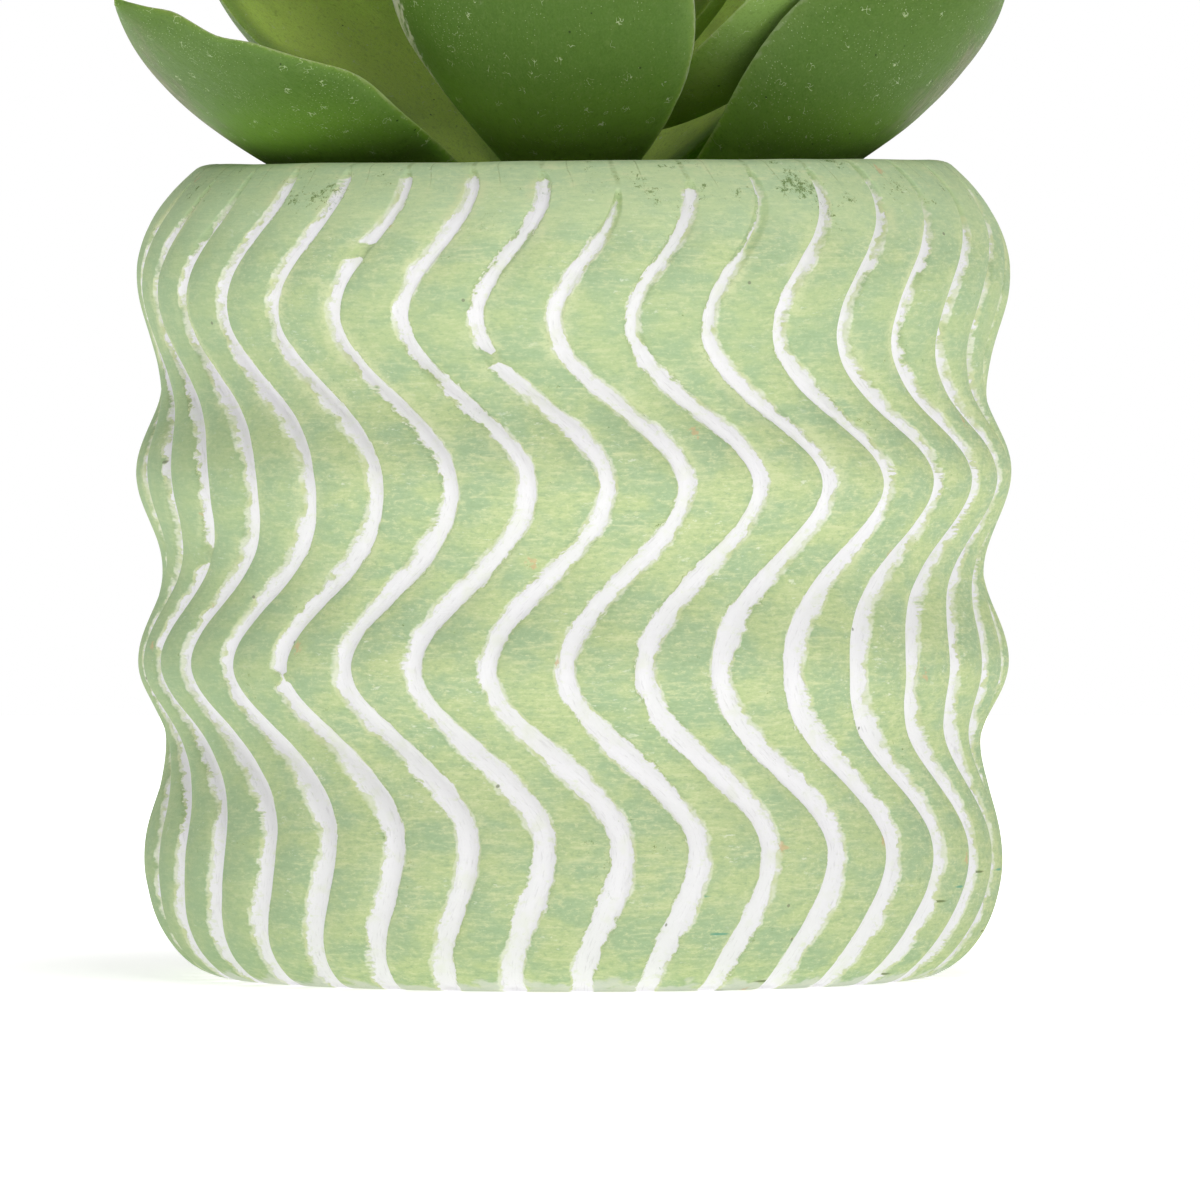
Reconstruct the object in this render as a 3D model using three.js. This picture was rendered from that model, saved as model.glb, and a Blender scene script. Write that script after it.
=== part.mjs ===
// A small haworthia-like rosette in a round pot with a wavy, grooved wall.
// Millimetres, +Z up. The origin is the centre of the pot's flat foot.
import * as THREE from "three";

// Driving dimensions.
const GAP = 0.3; // between pieces that rest against each other
const TURN = 2 * Math.PI;

// Pot: four soft bulges one above another, under a rounded shoulder.
const POT_HEIGHT = 83.6;
const FOOT_RADIUS = 35.7;
const CORNER_HEIGHT = 12.3; // of the rounded bottom corner, nearly a quarter ellipse
const CORNER_ROWS = [0, 0.7, 2, 4.2, 7.6, 10.9]; // heights of its rows of faces
const RIM_RADIUS = 38.0;
const SHOULDER_HEIGHT = 12.1; // from the rim down to the top bulge
const SHOULDER_ROWS = [71.2, 75, 78, 80.2, 81.8, 83];
const BULGES = [
  { z: 12.3, r: 44.2 },
  { z: 23.7, r: 41.9 },
  { z: 32.3, r: 44.7 },
  { z: 41.7, r: 42.2 },
  { z: 51.5, r: 45.0 },
  { z: 60.1, r: 42.4 },
  { z: 71.5, r: 44.8 },
];
const MOUTH_RADIUS = 33.8;
const FLOOR_RADIUS = 31.0;
const FLOOR_THICKNESS = 8;
const LIP_ROUND = 1.0;

// Grooves: a wavy line that swings from side to side between turning points.
const GROOVES = 35;
const GROOVE_DEPTH = 0.95;
const GROOVE_WIDTH = 2.5; // across the groove, from lip to lip
const GROOVE_FLOOR = 0.55; // the floor's share of that width
const GROOVE_TURNS = [
  { z: 0, swing: 1.2 },
  { z: 14.3, swing: 6.6 },
  { z: 32.4, swing: -11.1 },
  { z: 50.5, swing: 4.6 },
  { z: 67.0, swing: -12.6 },
  { z: 83.6, swing: -3.0 },
]; // swing in degrees round the pot
const GROOVE_TOP = 81.2; // the grooves fade out here, below the rim
const GROOVE_FADE = 2.6;
const FOOT_FADE = 0.8; // the grooves run out just above the flat foot
const ROWS_PER_TURN = 5; // rows of faces from one turning point to the next

// Filling and stem.
const SOIL_TOP = 72.6;
const SOIL_RELIEF = 0.7;
const SOIL_SIDES = 40;
const SOIL_RINGS = [31.2, 26, 20, 14, 9]; // radii of the rings on its uneven top
const STEM_RADIUS = 4.6;
const STEM_FOOT = 52;
const STEM_SHOULDER = 95.2;
const STEM_NECK_RADIUS = 2.1;
const STEM_NECK = 98.6;
const STEM_TOP = 104.2;
const STEM_BEVEL = 0.6;

// Leaves.
const LEAF_SIDES = 12;
const LEAF_STATIONS = [0, 0.09, 0.2, 0.32, 0.44, 0.56, 0.67, 0.77, 0.86, 0.93, 0.975];
const LEAF_STEPS = 60; // short steps along the midrib
const LEAF_SEAT = 0.35; // between a leaf's root and the stem
const LEAF_INNER = 0.28; // share of the thickness on the bud's side of the middle
const ROOT_THICKNESS = 0.62; // share of the greatest thickness at the root
const THICKEST = 0.35; // how far along the leaf it is thickest
const TIP_THINNING = 0.85;
const POINT_START = 0.93; // where the small pointed tip starts, past the widest place

// Colours.
const PAINT_GREEN = 0xadc394;
const SOIL_BROWN = 0x3f3226;
const STEM_GREEN = 0x8a9a5c;
const OUTER_GREEN = 0x4f7433;
const MIDDLE_GREEN = 0x5d8438;
const INNER_GREEN = 0x6f9444;
const BUD_GREEN = 0x86a552;

const rad = THREE.MathUtils.degToRad;
const lerp = THREE.MathUtils.lerp;
const clamp = THREE.MathUtils.clamp;

// A smooth swing from 0 to 1 while t goes from 0 to 1.
const ease = (t) => 0.5 - 0.5 * Math.cos(Math.PI * clamp(t, 0, 1));

// Eased value of key at height z, between the listed points.
function between(points, key, z) {
  const next = Math.max(1, points.findIndex((p) => p.z >= z));
  const a = points[next - 1];
  const b = points[next];
  return lerp(a[key], b[key], ease((z - a.z) / (b.z - a.z)));
}

// Outer radius of the pot, on the crests between the grooves.
function potRadius(z) {
  const first = BULGES[0];
  const last = BULGES[BULGES.length - 1];
  if (z < first.z) {
    const t = 1 - z / CORNER_HEIGHT;
    return FOOT_RADIUS + (first.r - FOOT_RADIUS) * (1 - t * t) ** 0.55;
  }
  if (z > last.z) {
    const t = (z - last.z) / SHOULDER_HEIGHT;
    return RIM_RADIUS + (last.r - RIM_RADIUS) * (1 - t ** 2.2);
  }
  return between(BULGES, "r", z);
}

// How deep the grooves are at height z, as a share of their full depth.
function grooveShare(z) {
  return ease((GROOVE_TOP - z) / GROOVE_FADE) * ease(z / FOOT_FADE);
}

// A closed solid from rings of equal length, each a list of Vector3, first ring to last.
// A cap is a fan round its middle point.
function solidFromRings(rings, bottom, top) {
  const count = rings[0].length;
  const points = rings.flat();
  const faces = [];
  for (let i = 0; i + 1 < rings.length; i++) {
    for (let j = 0; j < count; j++) {
      const k = (j + 1) % count;
      const a = i * count + j;
      const b = i * count + k;
      faces.push(a, b, b + count, a, b + count, a + count);
    }
  }
  const low = points.push(bottom) - 1;
  const high = points.push(top) - 1;
  const lastRow = (rings.length - 1) * count;
  for (let j = 0; j < count; j++) {
    const k = (j + 1) % count;
    faces.push(k, j, low);
    faces.push(lastRow + j, lastRow + k, high);
  }
  const geometry = new THREE.BufferGeometry().setFromPoints(points);
  geometry.setIndex(faces);
  return geometry;
}

function piece(name, geometry, color, roughness) {
  const material = new THREE.MeshStandardMaterial({ color, roughness, metalness: 0 });
  geometry.computeVertexNormals();
  const mesh = new THREE.Mesh(geometry, material);
  mesh.name = name;
  return mesh;
}

// Heights of the rings on the pot's outer wall. They hit every turn of the waves.
function wallHeights() {
  const heights = [...CORNER_ROWS];
  const waves = GROOVE_TURNS.slice(1, -1);
  for (let i = 0; i + 1 < waves.length; i++) {
    for (let row = 0; row < ROWS_PER_TURN; row++) {
      heights.push(lerp(waves[i].z, waves[i + 1].z, row / ROWS_PER_TURN));
    }
  }
  return heights.concat([waves[waves.length - 1].z, ...SHOULDER_ROWS]);
}

// The ring of the outer wall at height z: four points to each groove and its rib.
function wallRing(z) {
  const crest = potRadius(z);
  const middle = (height) => rad(between(GROOVE_TURNS, "swing", height));
  const slope = (middle(z + 0.2) - middle(z)) / 0.2; // turn per mm of height
  const across = GROOVE_WIDTH * Math.hypot(1, slope * crest); // wider where it slants
  const half = across / 2 / crest;
  const deep = crest - GROOVE_DEPTH * grooveShare(z);
  const section = [
    { turn: -half, r: crest },
    { turn: -half * GROOVE_FLOOR, r: deep },
    { turn: half * GROOVE_FLOOR, r: deep },
    { turn: half, r: crest },
  ];
  const ring = [];
  for (let g = 0; g < GROOVES; g++) {
    for (const { turn, r } of section) {
      const angle = (g * TURN) / GROOVES + middle(z) + turn;
      ring.push(new THREE.Vector3(r * Math.sin(angle), -r * Math.cos(angle), z));
    }
  }
  return ring;
}

// The pot: its wall follows the wavy grooves, so each groove and rib is one column of faces.
function pot() {
  const rings = wallHeights().map(wallRing);
  const angles = rings[rings.length - 1].map((p) => Math.atan2(p.x, -p.y));
  const circle = (r, z) =>
    angles.map((a) => new THREE.Vector3(r * Math.sin(a), -r * Math.cos(a), z));
  rings.push(circle(RIM_RADIUS - LIP_ROUND, POT_HEIGHT));
  rings.push(circle(MOUTH_RADIUS + LIP_ROUND, POT_HEIGHT));
  rings.push(circle(MOUTH_RADIUS, POT_HEIGHT - LIP_ROUND));
  rings.push(circle(FLOOR_RADIUS, FLOOR_THICKNESS));
  const foot = new THREE.Vector3(0, 0, 0);
  const floor = new THREE.Vector3(0, 0, FLOOR_THICKNESS);
  return piece("pot", solidFromRings(rings, foot, floor), PAINT_GREEN, 0.85);
}

// Height of the small hollows and humps on top of the filling.
function soilRelief(r, angle) {
  const humps = Math.sin(0.55 * r + 3 * angle) * Math.cos(0.31 * r - 5 * angle);
  return SOIL_RELIEF * (humps - 0.2);
}

// The filling: a plug that fits the pot, uneven on top, with a plain hole for the stem.
function soil() {
  const bottom = FLOOR_THICKNESS + GAP;
  const shoulder = SOIL_TOP - 1.5; // the top edge slumps a little
  const hole = STEM_RADIUS + GAP;
  const holeFloor = STEM_FOOT - GAP;
  const wall = (z) => {
    const share = (z - FLOOR_THICKNESS) / (POT_HEIGHT - LIP_ROUND - FLOOR_THICKNESS);
    return lerp(FLOOR_RADIUS, MOUTH_RADIUS, share) - GAP;
  };
  const ring = (r, z, relief) => {
    const points = [];
    for (let j = 0; j < SOIL_SIDES; j++) {
      const a = (TURN * j) / SOIL_SIDES;
      points.push(new THREE.Vector3(r * Math.cos(a), r * Math.sin(a), z + relief(r, a)));
    }
    return points;
  };
  const even = () => 0;
  const rings = [
    ring(wall(bottom), bottom, even),
    ring(wall(shoulder), shoulder, soilRelief),
    ...SOIL_RINGS.map((r) => ring(r, SOIL_TOP, soilRelief)),
    ring(hole, SOIL_TOP, even),
    ring(hole, holeFloor, even),
  ];
  const base = new THREE.Vector3(0, 0, bottom);
  const seat = new THREE.Vector3(0, 0, holeFloor);
  return piece("soil", solidFromRings(rings, base, seat), SOIL_BROWN, 1);
}

// The stem that carries the leaves, narrower where the bud starts.
function stem() {
  const profile = [
    [0, STEM_FOOT],
    [STEM_RADIUS, STEM_FOOT],
    [STEM_RADIUS, STEM_SHOULDER],
    [STEM_NECK_RADIUS, STEM_NECK],
    [STEM_NECK_RADIUS, STEM_TOP - STEM_BEVEL],
    [STEM_NECK_RADIUS - STEM_BEVEL, STEM_TOP],
    [0, STEM_TOP],
  ].map(([r, z]) => new THREE.Vector2(r, z));
  const geometry = new THREE.LatheGeometry(profile, 20);
  geometry.rotateX(Math.PI / 2);
  return piece("stem", geometry, STEM_GREEN, 0.6);
}

// Half width along a leaf, as a share of its greatest half width.
function leafOutline(s, { base, widest }) {
  if (s < widest) {
    const t = s / widest;
    return base + (1 - base) * (0.45 * ease(t) + 0.55 * Math.sin((Math.PI / 2) * t));
  }
  const u = (s - widest) / (1 - widest);
  const point = Math.min(1, 0.55 + (0.45 * (1 - u)) / (1 - POINT_START));
  return (1 - u ** 2.2) * point;
}

// Thickness along a leaf, as a share of its greatest thickness.
function leafThickness(s) {
  if (s < THICKEST) return lerp(ROOT_THICKNESS, 1, Math.sin((TURN / 4) * (s / THICKEST)));
  return 1 - TIP_THINNING * ((s - THICKEST) / (1 - THICKEST)) ** 1.6;
}

// A point of a leaf's midrib, out along +X and up: an arc of even bend from the root.
function midrib(form, s) {
  const { rise, tipRise, length, lean = 0 } = form;
  const inner = LEAF_INNER * ROOT_THICKNESS * form.thick;
  let out = form.seat ?? STEM_RADIUS + LEAF_SEAT + inner * Math.sin(rad(rise));
  let up = form.z;
  const steps = Math.max(1, Math.round(LEAF_STEPS * s));
  const step = (length * s) / steps;
  for (let i = 0; i < steps; i++) {
    const angle = rad(lerp(rise, tipRise, (s * (i + 0.5)) / steps));
    out += step * Math.cos(angle);
    up += step * Math.sin(angle);
  }
  return new THREE.Vector3(out, lean * length * s * s, up);
}

// The section of a leaf at s, from 0 at the root to 1 at the tip: round on the outside,
// nearly flat on the side towards the bud, and cupped.
function leafRing(form, s) {
  const { rise, tipRise, width, thick, cup, roll = 0, twist = 0 } = form;
  const angle = rad(lerp(rise, tipRise, s));
  const turn = rad(roll + twist * s);
  const outward = new THREE.Vector3(Math.sin(angle), 0, -Math.cos(angle));
  const sideways = new THREE.Vector3(0, 1, 0);
  const across = sideways.clone().multiplyScalar(Math.cos(turn));
  across.addScaledVector(outward, Math.sin(turn));
  const back = outward.clone().multiplyScalar(Math.cos(turn));
  back.addScaledVector(sideways, -Math.sin(turn));
  const middle = midrib(form, s);
  const half = (width / 2) * leafOutline(s, form);
  const depth = Math.min(thick * leafThickness(s), 1.2 * half);
  const ring = [];
  for (let j = 0; j < LEAF_SIDES; j++) {
    const a = (-TURN * j) / LEAF_SIDES;
    const side = Math.cos(a);
    const face = Math.sin(a);
    const share = face > 0 ? 1 - LEAF_INNER : LEAF_INNER;
    const swell = share * Math.sign(face) * Math.abs(face) ** 1.25;
    const p = middle.clone().addScaledVector(across, half * side);
    ring.push(p.addScaledVector(back, depth * swell - cup * half * side * side));
  }
  return ring;
}

// A fleshy boat-shaped leaf. It leaves the stem at height z towards azimuth (0 is the front,
// 90 is +X), climbs from angle rise to angle tipRise, and is cupped towards the bud.
function leaf(name, color, form) {
  const rings = LEAF_STATIONS.map((s) => leafRing(form, s));
  const mesh = piece(name, solidFromRings(rings, midrib(form, 0), midrib(form, 1)), color, 0.45);
  mesh.rotation.z = rad(form.azimuth - 90);
  return mesh;
}

// Six broad leaves spread over the rim.
const OUTER = [
  { azimuth: -5, z: 78.5, rise: 21, tipRise: 83, length: 53, width: 31.5,
    base: 0.22, widest: 0.61, cup: 0.12, roll: 15, twist: -15, lean: -0.05 },
  { azimuth: 74.8, z: 75.9, rise: 14.3, tipRise: 57, length: 51.1, width: 35.3,
    base: 0.08, widest: 0.59, cup: 0.34, roll: -4, twist: 29 },
  { azimuth: 128, z: 78, rise: 33, tipRise: 60, length: 49, width: 31, cup: 0.22, roll: 6 },
  { azimuth: 182, z: 76.5, rise: 22, tipRise: 60, length: 50, width: 32, roll: -4 },
  { azimuth: -120, z: 78, rise: 30, tipRise: 52, length: 51, width: 30,
    cup: 0.22, roll: 8, twist: 6 },
  { azimuth: -64, z: 76.8, rise: 13, tipRise: 39, length: 52.5, width: 35,
    base: 0.09, cup: 0.11, roll: -9, twist: 9, lean: 0.02 },
];

// Four middle leaves, steeper than the outer ones.
const MIDDLE = [
  { azimuth: 60.5, z: 87.6, rise: 11.5, tipRise: 68.5, length: 41.5, width: 24,
    base: 0.29, roll: -5.5, twist: -13.4 },
  { azimuth: 140, rise: 42, tipRise: 74, width: 27 },
  { azimuth: 232, rise: 46, tipRise: 74, width: 27 },
  { azimuth: 324, rise: 48, tipRise: 78, width: 25 },
];

// Four inner leaves that stand close round the bud.
const INNER = [
  { azimuth: 28, rise: 52 },
  { azimuth: 104, rise: 56 },
  { azimuth: 190, rise: 58 },
  { azimuth: 276, rise: 60 },
];

// Four bud leaves, two pairs, round a slim heart leaf.
const BUD = [
  { azimuth: 62, rise: 66 },
  { azimuth: 150, rise: 70, length: 27 },
  { azimuth: 242, rise: 66 },
  { azimuth: 330, rise: 70, length: 27 },
];

// Each whorl's own sizes, for what a leaf above doesn't state.
const OUTER_FORM = { base: 0.14, widest: 0.58, cup: 0.2, thick: 5 };
const MIDDLE_FORM = {
  z: 88.5, length: 42, base: 0.2, widest: 0.58, cup: 0.22, thick: 4.5, roll: 8,
};
const INNER_FORM = {
  z: 94, tipRise: 86, length: 36, width: 21.5, base: 0.3, widest: 0.58, cup: 0.3,
  thick: 4, roll: 18,
};
const BUD_FORM = {
  z: 99.5, tipRise: 100, length: 29, width: 14, base: 0.35, widest: 0.55,
  cup: 0.38, thick: 3.2, roll: 22, seat: 3,
};
const HEART_FORM = {
  azimuth: 0, z: STEM_TOP + GAP, rise: 88, tipRise: 92, length: 19, width: 6.5, base: 0.5,
  widest: 0.5, cup: 0, thick: 4.2, seat: 0,
};

function whorl(name, color, shared, leaves) {
  return leaves.map((own, i) => leaf(`${name}_${i + 1}`, color, { ...shared, ...own }));
}

const plant = new THREE.Group();
plant.add(stem());
plant.add(...whorl("leaf_outer", OUTER_GREEN, OUTER_FORM, OUTER));
plant.add(...whorl("leaf_middle", MIDDLE_GREEN, MIDDLE_FORM, MIDDLE));
plant.add(...whorl("leaf_inner", INNER_GREEN, INNER_FORM, INNER));
plant.add(...whorl("leaf_bud", BUD_GREEN, BUD_FORM, BUD));
plant.add(leaf("leaf_heart", BUD_GREEN, HEART_FORM));

const potted = new THREE.Group();
potted.add(pot());
potted.add(soil());
potted.add(plant);

export default potted;
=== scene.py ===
import math
import random
from functools import reduce

import bmesh
import bpy
import numpy as np
from mathutils import Euler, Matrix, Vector, noise


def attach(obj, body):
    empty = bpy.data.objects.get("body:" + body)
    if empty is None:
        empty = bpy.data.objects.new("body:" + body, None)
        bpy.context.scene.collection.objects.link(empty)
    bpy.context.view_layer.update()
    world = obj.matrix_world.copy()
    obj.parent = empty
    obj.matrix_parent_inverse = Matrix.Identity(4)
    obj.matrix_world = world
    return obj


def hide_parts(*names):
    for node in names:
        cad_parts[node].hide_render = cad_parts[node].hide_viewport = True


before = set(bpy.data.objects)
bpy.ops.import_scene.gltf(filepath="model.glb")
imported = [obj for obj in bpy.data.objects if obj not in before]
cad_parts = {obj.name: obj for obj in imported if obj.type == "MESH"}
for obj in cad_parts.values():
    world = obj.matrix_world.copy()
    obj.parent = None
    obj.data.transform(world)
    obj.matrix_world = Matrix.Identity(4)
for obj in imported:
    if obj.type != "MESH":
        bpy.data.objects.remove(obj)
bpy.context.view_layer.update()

MM = 0.001  # sizes below are in millimetres, and meshes in metres
TURN = 2 * math.pi

# The camera, far off and a little above the pot's middle, as in the photo.
CAMERA_PLACE = (2.7, -1580.0, 73.0)
CAMERA_AIM = (2.7, 0.0, 38.4)
CAMERA_LENS = 464

# The white room's light from in front and from behind, and where, from -1 in front to 1 behind,
# the one turns to the other.
FRONT_LIGHT = 0.28
BACK_LIGHT = 0.5
LIGHT_TURN = (-0.1, 0.5)
ROOM_TINT = (1, 0.995, 1, 1)

# Two large soft lamps: place and size in metres, power in watts.
LAMPS = {"key": ((0.7, -1.3, 1.25), 13.6), "fill": ((-1.2, -1.4, 0.8), 5)}
LAMP_AIM = (0, 0, 0.05)
LAMP_SIZE = 1.2

# The pale floor: its reach in metres, and a glow that grows over these distances.
FLOOR_REACH = 0.9
FLOOR_FADE = (48, 120)
FLOOR_GLOW = (0.48, 0.95)
PAPER_TONES = ((0.93, 0.93, 0.93, 1), (0.95, 0.95, 0.95, 1))

# Pot, with the sizes of its solid. A bulge or waist is its height and radius.
POT_HEIGHT = 83.6
FOOT_RADIUS = 35.7
CORNER_HEIGHT = 12.3
CORNER_ROUNDNESS = 0.55
RIM_RADIUS = 38.0
SHOULDER_HEIGHT = 12.1
SHOULDER_ROUNDNESS = 2.2
BULGES = [(12.3, 44.2), (23.7, 41.9), (32.3, 44.7), (41.7, 42.2), (51.5, 45.0), (60.1, 42.4),
          (71.5, 44.8)]
MOUTH_RADIUS = 33.8
FLOOR_RADIUS = 31.0
FLOOR_THICKNESS = 8.0
INNER_CORNER = 0.6
INNER_CORNER_TOP = 14.0
FOOT_HOLLOW = 0.8  # the middle of the foot is raised a little
FOOT = [(0, FOOT_HOLLOW), (28.5, FOOT_HOLLOW), (30.5, 0.15), (31.5, 0), (34.4, 0)]  # radius, height
LIP_START = 83.0  # height where the lip starts to turn over
LIP_PULLS = np.array([(37.8, 83.75), (34.2, 83.9)])  # radius and height that its curve is drawn to
LIP_END = 82.1  # height where it ends, inside the mouth
MOUTH_SINK, MOUTH_DRAFT = 1.4, 0.05  # from row to row inside the mouth: down, and inwards

# Rows of faces up the wall, over the lip and down inside the mouth.
PROFILE_POINTS = 4000  # the wall's rows are spaced out along a line of this many points,
FOOT_CROWDING = 1.6  # which lie closer together near the foot
WALL_ROWS = 148
LIP_ROWS = 10
MOUTH_ROWS = 7

# Unevenness of a wall and rim shaped by hand.
POT_SKIN = 0.12  # how far the painted surface lies inside the solid's crests
POT_WOBBLE = 0.16
POT_RIPPLE = 0.05
RIM_DIP = 0.55  # how much lower the rim is on its low side
RIM_DIP_START = 72.0
RIM_LOW_SIDE = math.radians(-55)  # 0 is the front
RIM_LUMPS = 0.12

# Grooves: a wavy line that swings from side to side between turning points (height, degrees).
GROOVES = 35
GROOVE_TURNS = [(0, 1.2), (14.3, 6.6), (32.4, -11.1), (50.5, 4.6), (67.0, -12.8), (80.8, -3.9),
                (83.6, -4.6)]
GROOVE_DEPTH = 0.95
DEPTH_DRIFT = 0.15  # a share of the depth
# Width of the white in a groove, between the edges of the paint: (height, width).
WHITE_WIDTHS = [(0, 2.5), (9, 2.8), (14, 2.5), (34, 2.3), (44, 2.1), (52, 2.05), (60, 1.65), (70, 1.55),
                (83.6, 1.35)]
WIDTH_DRIFT = 0.14  # a share of the width
PAINT_REACH = 0.1  # how far the paint reaches into a groove, past its lip
GROOVE_WANDER = 0.15
LIP_NICKS = 0.1
# A groove's section, in shares of its half width: flat to here, then up over this much.
GOUGE_FLAT = 0.42
GOUGE_WALL = 0.62
GOUGE_DISH = 0.1  # how much deeper its middle is, as a share of its depth
# Tops of the grooves: their height and how it differs, the least and most length of a groove's
# point, the width left there, and over how much it comes up to the surface.
GROOVE_TOP = 81.6
TOP_DRIFT = 0.9
GROOVE_TAPERS = (1.2, 7.5)
POINT_WIDTH = 0.4
TOP_FADE = 1.0
FOOT_FADE = 0.5  # the same at the foot
# On the front the carved lines end at these heights, and come to a point over these lengths.
FRONT_TOPS = {
    -7: (81.6, 6), -6: (81.8, 6), -5: (82.9, 7), -4: (83.0, 2.5), -3: (82.9, 1.2), -2: (82.8, 1.2),
    -1: (82.9, 2), 0: (82.5, 1.2), 1: (80.5, 5), 2: (81.5, 1.2), 3: (82.6, 5), 4: (82.7, 4),
    5: (84.2, 7), 6: (83.9, 7), 7: (83.2, 8),
}
# Columns of faces from a groove's middle to its lip, as shares of its half width.
LIP_COLUMNS = (0.35, 0.6, 0.78, 0.92, 1.05, 1.28)
RIB_CROWN = 0.32  # how much higher a rib's middle is than its lips
CROWN_FADES = (6, 2)  # over how much of the wall it fades out, at the rim and at the foot
# Spots where the green paint runs across a groove: groove, height, half length and strength.
BRIDGES = [
    (-2, 74.2, 0.5, 1.6), (3, 76.2, 3.8, 0.42), (0, 63.4, 0.6, 0.8), (-3, 31.4, 0.5, 0.9),
    (-6, 43.3, 0.8, 1.7), (-5, 76.0, 0.8, 0.6), (9, 22.0, 0.8, 0.8), (13, 62.5, 1.8, 0.7),
    (-13, 50.0, 0.7, 1.0), (17, 72.0, 2.5, 0.8), (-16, 26.0, 0.8, 0.9),
]
BRIDGE_FILL = 0.55  # the share of a groove's depth that a bridge fills
# How far the paint closes in on a groove's middle: at a bridge, at its point and past its end.
BRIDGE_PAINT, POINT_PAINT, END_PAINT = 1.2, 0.5, 3
UNROLLED_RADIUS = 43.0  # the wall is unrolled at this radius for its small marks
MOUTH_PAINT = 79.5  # the brush went this far down inside the mouth
FOOT_PAINT = 34.4  # and this far in under the foot, as a radius
BRUSH_END = 0.6  # how fast the paint thins there
BRUSH_FADE = 4

# Filling and stem.
SOIL_TOP = 72.6
SOIL_ROUND_OFF = 1.5  # how much lower it lies where it meets the pot
SOIL_ROUNDNESS = 12
SOIL_RELIEF = 0.7
SOIL_LUMPS = [(0.35, 2.4), (0.25, 1.1)]  # height and size
SOIL_SINK = 0.2
SOIL_GAP = 0.3
SOIL_SIDES, SOIL_RINGS = 144, 45
CRUMBS = 300  # loose crumbs and grit on the filling
CRUMB_SIZES = (0.45, 1.3)
CRUMB_ROUGHNESS = 0.45
CRUMB_LIFT = 0.2  # how high a crumb's middle lies above the filling, as a share of its size
STEM_RADIUS = 4.6
STEM_FOOT = 52.0
STEM_SHOULDER = 95.2
STEM_NECK_RADIUS = 2.1
STEM_NECK = 98.6
STEM_TOP = 104.2
STEM_EDGE = 0.6
STEM_SIDES, STEM_RINGS = 32, 40
SCAR_DEPTH, SCAR_PITCH, SCAR_WAVES = 0.12, 2.6, 0.8  # of the rings that old leaves left

# Leaves, with the sizes of their solids.
LEAF_SEAT = 0.35
LEAF_INNER = 0.28  # the share of a leaf's thickness that lies on its inner side
ROOT_THICKNESS = 0.62
THICKEST = 0.35
TIP_THINNING = 0.85
THINNING_CURVE = 1.6
SWELL_EASE = 0.45
OUTLINE_ROUNDNESS = 2.2
POINT_START = 0.93
POINT_STUMP = 0.55
EDGE_BULGE = 1.2  # a leaf is at most this much thicker than its half width
LEAF_SIDES = 72
LEAF_ROWS = 80
ROW_CROWDING = 1.2  # of rows towards the tip
EDGE_CROWDING = 0.38  # of columns towards the edges
# What a finished leaf adds to its solid.
LEAF_SKIN = 0.12
LEAF_ROUNDNESS = 1.25
EDGE_WAVER = 0.012
LEAF_DENTS = 0.05
FLASH_HEIGHT = 0.16  # of the thin ridge that the mould leaves along both edges
FLASH_SPREAD = 0.06
FLASH_END = 0.05  # it fades out over this share of the length at the tip
PLAIN_SEAM = 0.18  # the line's strength on every other edge
SHEEN_AND_RUB_SIDE = (0.75, -0.66)  # a rubbed leaf was touched from this side, where a painted grey sheen lies too: outwards, and up
SHEEN_AND_RUB_DEPTH = 1.9
SHEEN_AND_RUB_SPREAD = 0.22  # along the leaf, as a share
SHEEN_AND_RUB_PLACE = 0.6
SHEEN_AND_RUB_FAINT = 0.35  # on leaves that state no place
# Curls lift an edge towards the leaf's inner side: side, how far along, spread and height.
# A seam is the whitish line that the mould leaves on one edge: side and strength.
# A rub is how far along a leaf its lower side is most rubbed dull and painted with grey sheen.
OUTER_FORM = dict(base=0.14, widest=0.58, cup=0.2, thick=5)
OUTER = [
    dict(azimuth=-5, z=78.5, rise=21, tip_rise=83, length=53, width=31.5, base=0.22, widest=0.61,
         cup=0.12, roll=15, twist=-15, lean=-0.05, seam=(-1, 1.0)),
    dict(azimuth=74.8, z=75.9, rise=14.3, tip_rise=57, length=51.1, width=35.3, base=0.08, widest=0.59,
         cup=0.34, roll=-4, twist=29, sheen_and_rub=0.68),
    dict(azimuth=128, z=78, rise=33, tip_rise=60, length=49, width=31, cup=0.22, roll=6),
    dict(azimuth=182, z=76.5, rise=22, tip_rise=60, length=50, width=32, roll=-4),
    dict(azimuth=-120, z=78, rise=30, tip_rise=52, length=51, width=30, cup=0.22, roll=8, twist=6),
    dict(azimuth=-64, z=76.8, rise=13, tip_rise=39, length=52.5, width=35, base=0.09, cup=0.11,
         roll=-9, twist=9, lean=0.02,
         curls=[(1, 0.6, 0.1, 1.25), (1, 0.85, 0.035, -0.6), (1, 0.925, 0.025, 0.4)], sheen_and_rub=0.72),
]
MIDDLE_FORM = dict(z=88.5, length=42, base=0.2, widest=0.58, cup=0.22, thick=4.5, roll=8)
MIDDLE = [
    dict(azimuth=60.5, z=87.6, rise=11.5, tip_rise=68.5, length=41.5, width=24, base=0.29, roll=-5.5,
         twist=-13.4),
    dict(azimuth=140, rise=42, tip_rise=74, width=27),
    dict(azimuth=232, rise=46, tip_rise=74, width=27),
    dict(azimuth=324, rise=48, tip_rise=78, width=25),
]
INNER_FORM = dict(z=94, tip_rise=86, length=36, width=21.5, base=0.3, widest=0.58, cup=0.3, thick=4,
                  roll=18)
INNER = [dict(azimuth=28, rise=52), dict(azimuth=104, rise=56), dict(azimuth=190, rise=58),
         dict(azimuth=276, rise=60)]
BUD_FORM = dict(z=99.5, tip_rise=100, length=29, width=14, base=0.35, widest=0.55, cup=0.38,
                thick=3.2, roll=22, seat=3)
BUD = [dict(azimuth=62, rise=66), dict(azimuth=150, rise=70, length=27), dict(azimuth=242, rise=66),
       dict(azimuth=330, rise=70, length=27)]
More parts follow.
